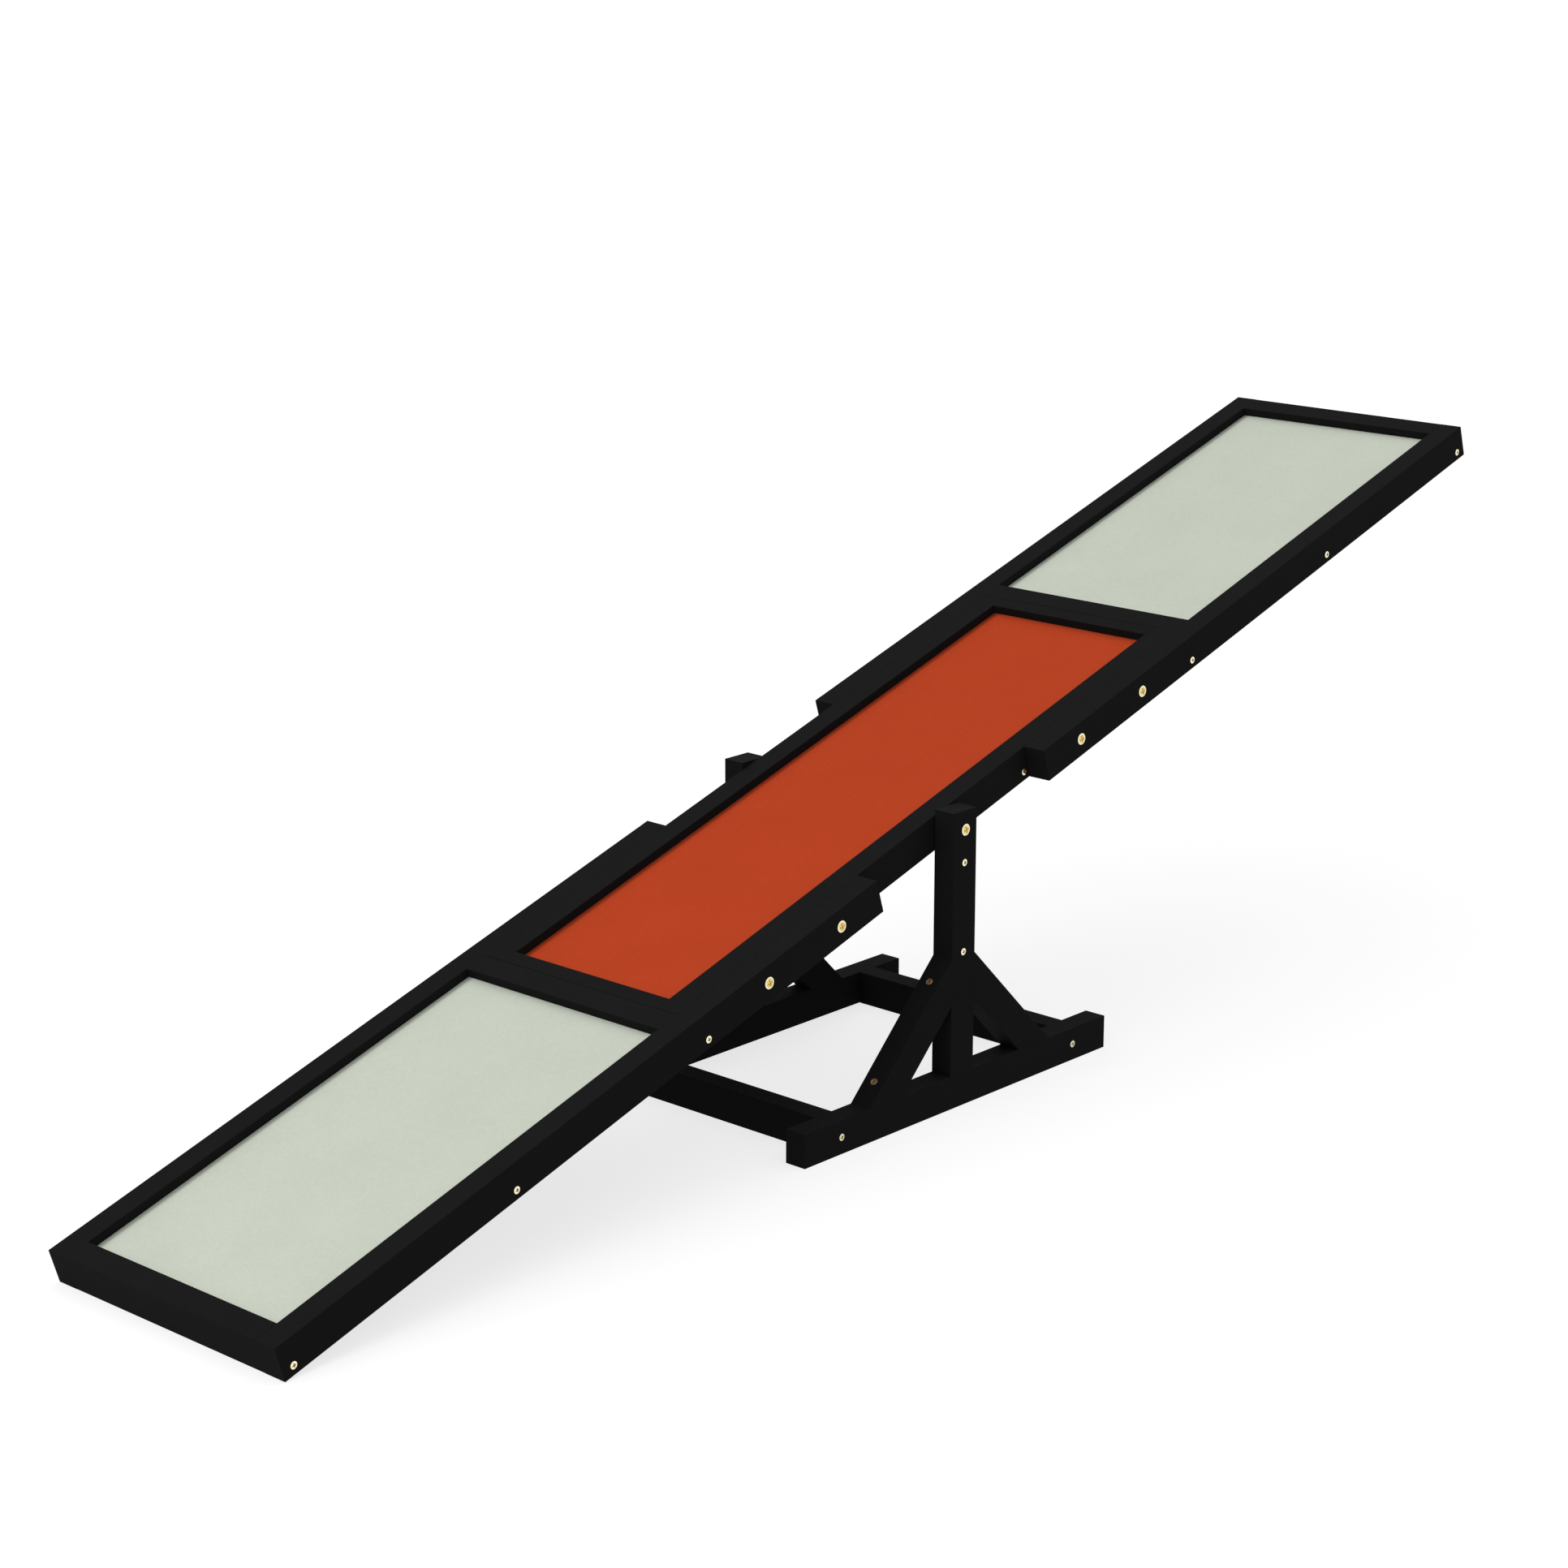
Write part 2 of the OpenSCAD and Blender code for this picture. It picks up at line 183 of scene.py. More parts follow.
def black_paint(name, grain, slope, heart):
    """grain is the axis that the grain runs along once the slope about Y is undone; heart is where the
    heart of the tree would pass, in the piece's own turned space."""
    finish = new_finish(name)
    place = add_node(finish, "TexCoord").outputs["Object"]
    turned = add_node(finish, "Mapping", {
        "Vector": place,
        "Location": pivot,
        "Rotation": Euler((0, slope, 0)),
    }, vector_type="TEXTURE").outputs["Vector"]

    wander = add_node(finish, "TexNoise", {
        "Vector": add_node(finish, "Mapping", {
            "Vector": turned,
            "Scale": [RING_BEND_RUN if axis == grain else RING_BEND_WIDTH for axis in "XYZ"],
        }, vector_type="TEXTURE").outputs["Vector"],
        "Scale": 1.0,
        "Detail": 2.0,
    }).outputs["Color"]
    drift = add_node(finish, "VectorMath", {0: wander, 1: [RING_BEND] * 3}, operation="MULTIPLY").outputs[0]
    about_heart = add_node(finish, "VectorMath", {0: turned, 1: heart}, operation="SUBTRACT").outputs[0]
    wandering = add_node(finish, "VectorMath", {0: about_heart, 1: drift}, operation="ADD").outputs[0]
    rings = add_node(finish, "TexWave", {
        "Vector": wandering,
        "Scale": WAVE_LINE / RING_SPACING,
        "Distortion": 0.0,
    }, wave_type="RINGS", rings_direction=grain, wave_profile="SAW").outputs["Fac"]

    brush = add_node(finish, "TexNoise", {
        "Vector": add_node(finish, "Mapping", {
            "Vector": turned,
            "Scale": [BRUSH_RUN if axis == grain else BRUSH_WIDTH for axis in "XYZ"],
        }, vector_type="TEXTURE").outputs["Vector"],
        "Scale": 1.0,
        "Detail": 3.0,
    }).outputs["Fac"]
    blotches = add_node(finish, "TexNoise", {
        "Vector": turned,
        "Scale": 1 / BLOTCH,
        "Detail": 3.0,
    }).outputs["Fac"]
    shade = add_node(finish, "Math", {
        0: add_node(finish, "Math", {0: brush, 1: BRUSH_SHARE}, operation="MULTIPLY").outputs[0],
        1: add_node(finish, "Math", {0: blotches, 1: 1 - BRUSH_SHARE}, operation="MULTIPLY").outputs[0],
    }, operation="ADD").outputs[0]
    dullness = add_node(finish, "MapRange", {
        "Value": brush,
        "To Min": PAINT_SMOOTHEST,
        "To Max": PAINT_ROUGHEST,
    }).outputs[0]

    softened = add_node(finish, "Bevel", {"Radius": PAINTED_ARRIS}, samples=4).outputs["Normal"]
    ringed = add_node(finish, "Bump", {
        "Height": rings,
        "Distance": RING_RELIEF,
        "Strength": 1.0,
        "Normal": softened,
    }).outputs["Normal"]
    brushed = add_node(finish, "Bump", {
        "Height": brush,
        "Distance": BRUSH_RELIEF,
        "Strength": 1.0,
        "Normal": ringed,
    }).outputs["Normal"]
    surface = add_node(finish, "BsdfPrincipled", {
        "Base Color": between(finish, shade, (NOISE_LOW, PAINT_DARK), (NOISE_HIGH, PAINT_LIGHT)),
        "Roughness": dullness,
        "IOR": PAINT_IOR,
        "Specular IOR Level": PAINT_REFLECTION,
        "Normal": brushed,
    })
    add_node(finish, "OutputMaterial", {"Surface": surface.outputs[0]})
    return finish


HEART_BESIDE = Vector((0.02, 0.03, -0.09))
HEART_BESIDE_POST = Vector((0.05, 0.03, 0))
BRACE_SLOPE = math.radians(45)
paint_along_plank = black_paint("black_paint_grain_along_plank", "X", -tilt, HEART_BESIDE)
paint_across_plank = black_paint("black_paint_grain_across_plank", "Y", -tilt, HEART_BESIDE)
paint_along_stand = black_paint("black_paint_grain_along_stand", "X", 0, HEART_BESIDE)
paint_across_stand = black_paint("black_paint_grain_across_stand", "Y", 0, HEART_BESIDE)
paint_upright = black_paint("black_paint_grain_upright", "Z", 0, HEART_BESIDE_POST)
paint_low_brace = black_paint("black_paint_grain_up_low_brace", "X", -BRACE_SLOPE, HEART_BESIDE)
paint_high_brace = black_paint("black_paint_grain_up_high_brace", "X", BRACE_SLOPE, HEART_BESIDE)
print("black paint in 7 directions of grain")

# %% [markdown]
# Each timber solid of the frame keeps its shape and takes the paint whose grain runs its way. The names say
# which way that is: rails that run along the plank or the stand, pieces that run across, posts and braces.

# %% Paint the timber
ACROSS_PLANK = ("end_rail", "cross_rail", "slat", "batten")


def paint_for(node, body):
    if "brace" in node:
        return paint_low_brace if "low" in node else paint_high_brace
    if "post" in node:
        return paint_upright
    if body == "stand":
        return paint_across_stand if "stand_rail" in node else paint_along_stand
    return paint_across_plank if node.endswith(ACROSS_PLANK) else paint_along_plank


bodies = frame["record"]["behaviour"]["bodies"]
slots = {part["node"]: part["material_slot"] for part in frame["record"]["subparts"]}
painted = 0
for body, members in bodies.items():
    for node in members:
        if slots[node] == "black_timber":
            for slot in frame["nodes"][node].material_slots:
                slot.material = paint_for(node, body)
            painted += 1
print("painted", painted, "pieces of timber")

# %% [markdown]
# The walking panels are boards with a coat of fine mineral grit in paint, so that paws don't slip: pale
# grey-green on the end panels and brick red on the middle one. Grit this fine can't be told grain by grain
# from a step away. What the eye gets is a dry, even face with faint specks and cloudy patches, and hardly any
# reflection. The grains are drawn 0.9 mm wide, a little coarser than the real ones, so that they show. Beside
# the two long rails the coat is darker: painted shade, standing in for the soft shadow that the rails cast.

# %% Grit coat
GRAIN = 0.9 * MM
GRAIN_RELIEF = 0.05 * MM
CLUMP = 5 * MM
CLOUD = 70 * MM
DARK_EDGE = 2 * MM
DARK_EDGE_FADES_AT = 8 * MM
DARK_EDGE_SHARE = 0.52
SPECK_SHARE = 0.25
CLUMP_SHARE = 0.4
CLOUD_SHARE = 0.35
GRAIN_BUMP = 0.5
GRIT_SMOOTHEST = 0.86
GRIT_ROUGHEST = 0.96


def grit_coat(name, dark, light, to_rail):
    """to_rail is the distance from the plank's middle line to the rails beside the panel."""
    finish = new_finish(name)
    place = add_node(finish, "TexCoord").outputs["Object"]
    grains = add_node(finish, "TexVoronoi", {
        "Vector": place,
        "Scale": 1 / GRAIN,
        "Randomness": 1.0,
    }, feature="F1")
    clumps = add_node(finish, "TexNoise", {"Vector": place, "Scale": 1 / CLUMP, "Detail": 4.0}).outputs["Fac"]
    clouds = add_node(finish, "TexNoise", {"Vector": place, "Scale": 1 / CLOUD, "Detail": 2.0}).outputs["Fac"]
    specks = add_node(finish, "SeparateColor", {"Color": grains.outputs["Color"]}).outputs["Red"]
    shares = ((specks, SPECK_SHARE), (clumps, CLUMP_SHARE), (clouds, CLOUD_SHARE))
    parts = [add_node(finish, "Math", {0: value, 1: share}, operation="MULTIPLY").outputs[0]
             for value, share in shares]
    first_two = add_node(finish, "Math", {0: parts[0], 1: parts[1]}, operation="ADD").outputs[0]
    shade = add_node(finish, "Math", {0: first_two, 1: parts[2]}, operation="ADD").outputs[0]
    height = add_node(finish, "Math", {
        0: 1.0,
        1: grains.outputs["Distance"],
    }, operation="SUBTRACT").outputs[0]
    # Painted shade: the coat darkens towards the two long rails, in place of the shadow that they cast on it.
    across = add_node(finish, "SeparateXYZ", {"Vector": place}).outputs["Y"]
    unshaded_by_rail = add_node(finish, "MapRange", {
        "Value": add_node(finish, "Math", {0: across}, operation="ABSOLUTE").outputs[0],
        "From Min": to_rail - DARK_EDGE,
        "From Max": to_rail - DARK_EDGE_FADES_AT,
        "To Min": DARK_EDGE_SHARE,
        "To Max": 1.0,
    }, interpolation_type="SMOOTHSTEP").outputs[0]
    coat = between(finish, shade, (NOISE_LOW, dark), (NOISE_HIGH, light))
    rail_shaded_coat = add_node(finish, "VectorMath", {0: coat, "Scale": unshaded_by_rail}, operation="SCALE").outputs[0]
    dullness = add_node(finish, "MapRange", {
        "Value": specks,
        "To Min": GRIT_SMOOTHEST,
        "To Max": GRIT_ROUGHEST,
    }).outputs[0]
    gritty = add_node(finish, "Bump", {
        "Height": height,
        "Distance": GRAIN_RELIEF,
        "Strength": GRAIN_BUMP,
    }).outputs["Normal"]
    surface = add_node(finish, "BsdfPrincipled", {
        "Base Color": rail_shaded_coat,
        "Roughness": dullness,
        "IOR": PAINT_IOR,
        "Specular IOR Level": PAINT_REFLECTION,
        "Normal": gritty,
    })
    add_node(finish, "OutputMaterial", {"Surface": surface.outputs[0]})
    return finish


END_PANEL_TO_RAIL = 125 * MM
MIDDLE_PANEL_TO_RAIL = 100 * MM
pale_grit = grit_coat("pale_grit_coat", "#bfc6b8", "#c8cec0", END_PANEL_TO_RAIL)
red_grit = grit_coat("red_grit_coat", "#af3f20", "#b84324", MIDDLE_PANEL_TO_RAIL)

# %% [markdown]
# The screws and bolts are steel with a yellow zinc plate. It looks like pale brass, yellow on the crown, and its
# lighter and darker looks are painted in as copies of the plate: cream is a painted highlight, on the bolts'
# flat rims and on the small screw heads, and brown down in the recess is painted shade. The screws in the base
# rails are a little greyer and duller, and those in the braces, which face upwards, are dull brown: a painted
# reflection of the black plank above them. All are metals of one kind that differ in colour and polish, with a
# faint haze of tiny scratches in the roughness.

# %% Yellow zinc plate
HAZE = 1.5 * MM
HAZE_LOW = 0.35
HAZE_HIGH = 0.65
SCRATCH_RELIEF = 0.01 * MM
SCRATCH_BUMP = 0.6


def zinc_plate(name, dark, light, smooth, rough):
    """smooth and rough are the roughness of the plate where the haze is thinnest and thickest."""
    finish = new_finish(name)
    place = add_node(finish, "TexCoord").outputs["Object"]
    haze = add_node(finish, "TexNoise", {"Vector": place, "Scale": 1 / HAZE, "Detail": 4.0}).outputs["Fac"]
    hazy = add_node(finish, "MapRange", {"Value": haze, "To Min": smooth, "To Max": rough}).outputs[0]
    scratched = add_node(finish, "Bump", {
        "Height": haze,
        "Distance": SCRATCH_RELIEF,
        "Strength": SCRATCH_BUMP,
    }).outputs[0]
    surface = add_node(finish, "BsdfPrincipled", {
        "Base Color": between(finish, haze, (HAZE_LOW, dark), (HAZE_HIGH, light)),
        "Metallic": 1.0,
        "Roughness": hazy,
        "Normal": scratched,
    })
    add_node(finish, "OutputMaterial", {"Surface": surface.outputs[0]})
    return finish


# Painted light: the cream copy is a painted highlight, the two recess copies are painted shade, and the brace copy
# is a painted reflection of the black plank above.
highlight_zinc = zinc_plate("yellow_zinc_painted_highlight", "#faf0cc", "#fff8da", 0.22, 0.34)
yellow_zinc = zinc_plate("yellow_zinc_crown", "#dcc47a", "#e9d696", 0.24, 0.36)
shaded_gold_zinc = zinc_plate("yellow_zinc_painted_shade_wide_recess", "#d3b76c", "#dec67e", 0.35, 0.5)
shaded_brown_zinc = zinc_plate("yellow_zinc_painted_shade_narrow_recess", "#b39150", "#c6a764", 0.35, 0.5)
duller_zinc = zinc_plate("yellow_zinc_a_little_duller", "#d6d1ae", "#dbd8ba", 0.26, 0.38)
dark_reflection_zinc = zinc_plate("yellow_zinc_painted_dark_reflection", "#a2876a", "#b0967a", 0.4, 0.55)

# %% [markdown]
# Three kinds of small piece stay out of sight until the seesaw is taken apart: beech dowels, with their close
# straight grain and darker flecks; nylon washers, milky and slightly waxed; and threaded inserts of the same
# zinc plate as the bolts. They keep the frame's shapes.

# %% Beech and nylon
BEECH_RUN = 25 * MM
BEECH_WIDTH = 0.8 * MM
BEECH_RELIEF = 0.05 * MM
BEECH_DARK_TO = 0.35
BEECH_LIGHT_FROM = 0.6
BEECH_SMOOTHEST = 0.55
BEECH_ROUGHEST = 0.75
BEECH_REFLECTION = 0.4
NYLON_CLOUD = 4 * MM
NYLON_SMOOTHEST = 0.4
NYLON_ROUGHEST = 0.5
NYLON_IOR = 1.53

beech = new_finish("beech_turned_dowel")
beech_place = add_node(beech, "Mapping", {
    "Vector": add_node(beech, "TexCoord").outputs["Object"],
    "Scale": (BEECH_WIDTH, BEECH_RUN, BEECH_WIDTH),
}, vector_type="TEXTURE").outputs["Vector"]
beech_grain = add_node(beech, "TexNoise", {"Vector": beech_place, "Scale": 1.0, "Detail": 4.0}).outputs["Fac"]
beech_surface = add_node(beech, "BsdfPrincipled", {
    "Base Color": between(beech, beech_grain, (BEECH_DARK_TO, "#b98f5e"), (BEECH_LIGHT_FROM, "#d3b285")),
    "Roughness": add_node(beech, "MapRange", {
        "Value": beech_grain,
        "To Min": BEECH_SMOOTHEST,
        "To Max": BEECH_ROUGHEST,
    }).outputs[0],
    "Specular IOR Level": BEECH_REFLECTION,
    "Normal": add_node(beech, "Bump", {"Height": beech_grain, "Distance": BEECH_RELIEF}).outputs[0],
})
add_node(beech, "OutputMaterial", {"Surface": beech_surface.outputs[0]})

nylon = new_finish("nylon_moulded_washer")
nylon_cloud = add_node(nylon, "TexNoise", {
    "Vector": add_node(nylon, "TexCoord").outputs["Object"],
    "Scale": 1 / NYLON_CLOUD,
    "Detail": 2.0,
}).outputs["Fac"]
nylon_surface = add_node(nylon, "BsdfPrincipled", {
    "Base Color": between(nylon, nylon_cloud, (NOISE_LOW, "#d2d2c8"), (NOISE_HIGH, "#dcdcd6")),
    "Roughness": add_node(nylon, "MapRange", {
        "Value": nylon_cloud,
        "To Min": NYLON_SMOOTHEST,
        "To Max": NYLON_ROUGHEST,
    }).outputs[0],
    "IOR": NYLON_IOR,
})
add_node(nylon, "OutputMaterial", {"Surface": nylon_surface.outputs[0]})

HIDDEN_PIECES = {
    "cross_rail_dowels": beech,
    "pivot_washers": nylon,
    "overlap_inserts": yellow_zinc,
    "pivot_inserts": yellow_zinc,
}
for node, finish in HIDDEN_PIECES.items():
    for slot in frame["nodes"][node].material_slots:
        slot.material = finish
print("finished", len(HIDDEN_PIECES), "nodes that lie inside")

# %% [markdown]
# A panel is one board. Its walking face is a fine grid that is lifted and lowered by a few hundredths of a
# millimetre, as sprayed grit is, and its arrises are eased. It could be a box with a bump map, but then its
# mesh would be bare of the grit that the panel is for. The grid is added at the size that the frame's solid
# has when it is laid flat, drawn down into a board by extruding it, and its underside is cleared to one face,
# painted black like the frame.

# %% Panels
GRIT_CELL = 1.7 * MM
GRIT_DEPTH = 0.1 * MM
GRIT_LUMP = 3 * MM
PANEL_ARRIS = 0.5 * MM
PANEL_SMOOTH_TO = math.radians(30)

grit_noise = bpy.data.textures.new("grit_relief", "CLOUDS")
grit_noise.noise_scale = GRIT_LUMP
grit_noise.noise_depth = 1


def grit_panel(node, finish):
    lowest, highest = extent(frame["nodes"][node], plank_place.inverted())
    size = highest - lowest
    middle = (lowest + highest) / 2
    bpy.ops.mesh.primitive_grid_add(
        x_subdivisions=round(size.x / GRIT_CELL),
        y_subdivisions=round(size.y / GRIT_CELL),
        size=1,
        location=(middle.x, middle.y, highest.z),
    )
    panel = bpy.context.object
    select_only(panel)
    panel.name = node + "_with_grit"
    panel.scale = (size.x - 2 * PANEL_ARRIS, size.y - 2 * PANEL_ARRIS, 1)
    bpy.ops.object.transform_apply(location=True, rotation=False, scale=True)
    panel.data.materials.append(finish)
    panel.data.materials.append(paint_along_plank)

    relief = panel.modifiers.new("grit", "DISPLACE")
    relief.texture = grit_noise
    relief.texture_coords = "LOCAL"
    relief.direction = "Z"
    relief.mid_level = 1.0
    relief.strength = GRIT_DEPTH
    apply_modifiers(panel)

    widen = (size.x / (size.x - 2 * PANEL_ARRIS), size.y / (size.y - 2 * PANEL_ARRIS), 1)
    bpy.ops.object.mode_set(mode="EDIT")
    bpy.ops.mesh.select_mode(type="EDGE")
    bpy.ops.mesh.select_all(action="DESELECT")
    bpy.ops.mesh.select_non_manifold()
    bpy.ops.mesh.extrude_region_move(TRANSFORM_OT_translate={"value": (0, 0, -PANEL_ARRIS)})
    bpy.ops.transform.resize(value=widen, center_override=(middle.x, middle.y, 0))
    bpy.ops.mesh.extrude_region_move(TRANSFORM_OT_translate={"value": (0, 0, -size.z + 2 * PANEL_ARRIS)})
    bpy.ops.mesh.extrude_region_move(TRANSFORM_OT_translate={"value": (0, 0, -PANEL_ARRIS + GRIT_DEPTH)})
    bpy.ops.transform.resize(value=[1 / share for share in widen], center_override=(middle.x, middle.y, 0))
    bpy.ops.mesh.edge_face_add()
    bpy.ops.mesh.select_all(action="SELECT")
    bpy.ops.mesh.normals_make_consistent(inside=False)
    bpy.ops.object.mode_set(mode="OBJECT")
    for face in panel.data.polygons:
        if face.center.z < highest.z - PANEL_ARRIS:
            face.material_index = 1
    settle(panel, plank_place)
    bpy.ops.object.shade_smooth_by_angle(angle=PANEL_SMOOTH_TO)
    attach(panel, "plank")
    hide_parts(node)
    print(panel.name, len(panel.data.polygons), "faces")


grit_panel("low_panel", pale_grit)
grit_panel("middle_panel", red_grit)
grit_panel("high_panel", pale_grit)

# %% [markdown]
# A screw or bolt is turned on a lathe, so it is built the way a lathe cuts it: a disc at the bottom is
# extruded upwards ring by ring, and each ring is resized to the radius that the profile has there. The
# timber's face is at height 0 and the shank runs down.


# %% Turning on a lathe
# A dome ends in a tiny flat, whose radius is this share of the step between two of its rings
DOME_TIP = 0.3


def turned(name, profile, sides=32):
    """profile is a list of (radius, height), from the bottom upwards."""
    first_radius, first_height = profile[0]
    bpy.ops.mesh.primitive_circle_add(
        vertices=sides, radius=first_radius, fill_type="NGON", location=(0, 0, first_height)
    )
    piece = bpy.context.object
    select_only(piece)
    piece.name = name
    bpy.ops.object.transform_apply(location=True)
    bpy.ops.object.mode_set(mode="EDIT")
    bpy.ops.mesh.select_all(action="SELECT")
    for (radius, height), (next_radius, next_height) in zip(profile, profile[1:]):
        bpy.ops.mesh.extrude_region_move(TRANSFORM_OT_translate={"value": (0, 0, next_height - height)})
        grow = next_radius / radius
        bpy.ops.transform.resize(value=(grow, grow, 1), center_override=(0, 0, next_height))
    bpy.ops.mesh.select_all(action="SELECT")
    bpy.ops.mesh.normals_make_consistent(inside=False)
    bpy.ops.object.mode_set(mode="OBJECT")
    return piece


def dome_profile(radius, base, rise, steps=6):
    """Rings of a shallow dome that stands on a circle of that radius and rises by rise above base."""
    ball = (radius**2 + rise**2) / (2 * rise)
    edge = math.asin(radius / ball)
    angles = [edge * (steps - i) / steps for i in range(steps)] + [edge * DOME_TIP / steps]
    return [(ball * math.sin(a), base + rise - ball + ball * math.cos(a)) for a in angles]


# %% [markdown]
# A thread is a ridge that climbs round the shank. The Screw modifier does just that: it takes the ridge's
# section, a small triangle beside the shank, and carries it round and up by one pitch at each turn. Its two
# ends are filled, and the ridge is joined to the shank with a Boolean union, so that the screw stays one
# solid. For a clean join, a quarter of the ridge's depth lies inside the shank.


# %% Thread
RIDGE_SUNK_SHARE = 0.25
RIDGE_HALF_WIDTH_SHARE = 0.42


def add_thread(piece, core, crest, pitch, bottom, top, steps=14):
    """Adds a thread between two heights. core and crest are the radii at its root and its top."""
    root = core - RIDGE_SUNK_SHARE * (crest - core)
    half_width = RIDGE_HALF_WIDTH_SHARE * pitch
    turns = round((top - bottom) / pitch) - 1
    bpy.ops.mesh.primitive_circle_add(vertices=3, radius=1, fill_type="NOTHING", rotation=(math.pi / 2, 0, 0))
    ridge = bpy.context.object
    select_only(ridge)
    bpy.ops.object.transform_apply(rotation=True)
    corners = ((root, -half_width), (crest, 0), (root, half_width))
    for vertex, (reach, height) in zip(ridge.data.vertices, corners):
        vertex.co = (reach, 0, bottom + pitch / 2 + height)
    climb = ridge.modifiers.new("climb", "SCREW")
    climb.axis = "Z"
    climb.angle = 2 * math.pi
    climb.screw_offset = pitch
    climb.iterations = turns
    climb.steps = steps
    climb.render_steps = steps
    apply_modifiers(ridge)
    bpy.ops.object.mode_set(mode="EDIT")
    bpy.ops.mesh.select_all(action="SELECT")
    bpy.ops.mesh.remove_doubles(threshold=SAME_POINT)
    bpy.ops.mesh.fill_holes(sides=4)
    bpy.ops.mesh.select_all(action="SELECT")
    bpy.ops.mesh.normals_make_consistent(inside=False)
    bpy.ops.object.mode_set(mode="OBJECT")
    union = piece.modifiers.new("thread", "BOOLEAN")
    union.operation = "UNION"
    union.solver = "EXACT"
    union.object = ridge
    apply_modifiers(piece)
    bpy.data.objects.remove(ridge)


# %% [markdown]
# The driver's recess is a shallow cross whose walls slope in towards the bottom. Its cutter is a bar that
# narrows downwards, added above the head and sized there, and a second bar crosses it at a right angle.
# Both are taken out of the head with Boolean modifiers, which also carry the cutter's browner plate onto the
# walls that they leave: painted shade for the recess. Pressing such a recess into the head leaves its mouth
# where the crown's surface is, so the bar is as long as the cross just there.


# %% Cross recess
RECESS_DEEP = 1 * MM
RECESS_CLEAR = 0.3 * MM
END_SLOPE = 0.6
SIDE_SLOPE = 0.25
LOOKS_DOWN = -0.5


def cut_recess(piece, span, width, top, mouth, finish):
    """top is the height of the head, and mouth is the height of its surface at the ends of the cross."""
    bottom = top - RECESS_DEEP
    high = top + RECESS_CLEAR
    long_at, wide_at = [
        [size + 2 * slope * (height - mouth) for height in (bottom, high)]
        for size, slope in ((span, END_SLOPE), (width, SIDE_SLOPE))
    ]
    for bar in (0, 1):
        bpy.ops.mesh.primitive_cube_add(size=1, location=(0, 0, (bottom + high) / 2))
        cutter = bpy.context.object
        select_only(cutter)
        cutter.scale = (long_at[1], wide_at[1], high - bottom)
        bpy.ops.object.transform_apply(location=True, scale=True)
        bpy.ops.object.mode_set(mode="EDIT")
        bpy.ops.mesh.select_mode(type="FACE")
        bpy.ops.mesh.select_all(action="DESELECT")
        bpy.ops.object.mode_set(mode="OBJECT")
        for face in cutter.data.polygons:
            face.select = face.normal.z < LOOKS_DOWN
        bpy.ops.object.mode_set(mode="EDIT")
        narrower = (long_at[0] / long_at[1], wide_at[0] / wide_at[1], 1)
        bpy.ops.transform.resize(value=narrower, center_override=(0, 0, 0))
        bpy.ops.object.mode_set(mode="OBJECT")
        settle(cutter, Matrix.Rotation(math.radians(90 * bar), 4, "Z"))
        cutter.data.materials.append(finish)
        cut = piece.modifiers.new("recess", "BOOLEAN")
        cut.operation = "DIFFERENCE"
        cut.solver = "EXACT"
        cut.material_mode = "TRANSFER"
        cut.object = cutter
        apply_modifiers(piece)
        bpy.data.objects.remove(cutter)


def dome_height(radius, rise, reach):
    """How high a shallow dome of that radius and rise still is at a reach from its axis."""
    return rise * (1 - (reach / radius) ** 2)


# %% [markdown]
# The wood screws are 4 mm thick with a raised countersunk head of 7 mm. Below the head comes a plain neck,
# then a coarse thread with a pitch of 1.8 mm and a point. The rounded rim of the head is what catches the
# light, so its edge is drawn as a small step and not as a knife edge.

# %% Wood screw
SCREW_CREST = 2 * MM
SCREW_CORE = 1.45 * MM
SCREW_NECK = 1.9 * MM
SCREW_PITCH = 1.8 * MM
SCREW_HEAD = 3.5 * MM
SCREW_CROSS = 4 * MM
SCREW_SLOT = 1.2 * MM
POINT_LENGTH = 6 * MM
POINT_RADIUS = 0.3 * MM
POINT_BLUNTED = 0.1 * MM
HEAD_SEAT = 1.5 * MM
RIM_EDGE = 0.12 * MM
LONGEST_NECK = 16 * MM
NECK_SHARE = 0.35
NECK_TAPER = 1 * MM


def wood_screw(name, length, rise, plate):
    rim = SCREW_HEAD - RIM_EDGE
    neck = -min(NECK_SHARE * length, LONGEST_NECK)
    point_ends = -length + POINT_LENGTH
    thread_ends = neck - NECK_TAPER
    profile = [
        (POINT_RADIUS, -length + POINT_BLUNTED),
        (SCREW_CORE, point_ends),
        (SCREW_CORE, thread_ends),
        (SCREW_NECK, neck),
        (SCREW_NECK, -HEAD_SEAT),
        (rim, -RIM_EDGE),
        (SCREW_HEAD, 0),
    ]
    screw = turned(name, profile + dome_profile(rim, RIM_EDGE, rise - RIM_EDGE))
    screw.data.materials.append(plate)
    mouth = dome_height(SCREW_HEAD, rise, SCREW_CROSS / 2)
    # The recess walls take the brown copy of the plate: painted shade.
    cut_recess(screw, SCREW_CROSS, SCREW_SLOT, rise, mouth, shaded_brown_zinc)
    add_thread(screw, SCREW_CORE, SCREW_CREST, SCREW_PITCH, point_ends, thread_ends)
    return screw


# %% [markdown]
# The bolts are M6 with a flat flange of 11.5 mm and a low crown of 9 mm on it. The flange is cream, a painted
# highlight, and the crown is yellow. Their thread, with a pitch of 1 mm, covers the end that goes into the
# insert. The pivot bolts stand 0.3 mm off the post, so that the plank can turn.

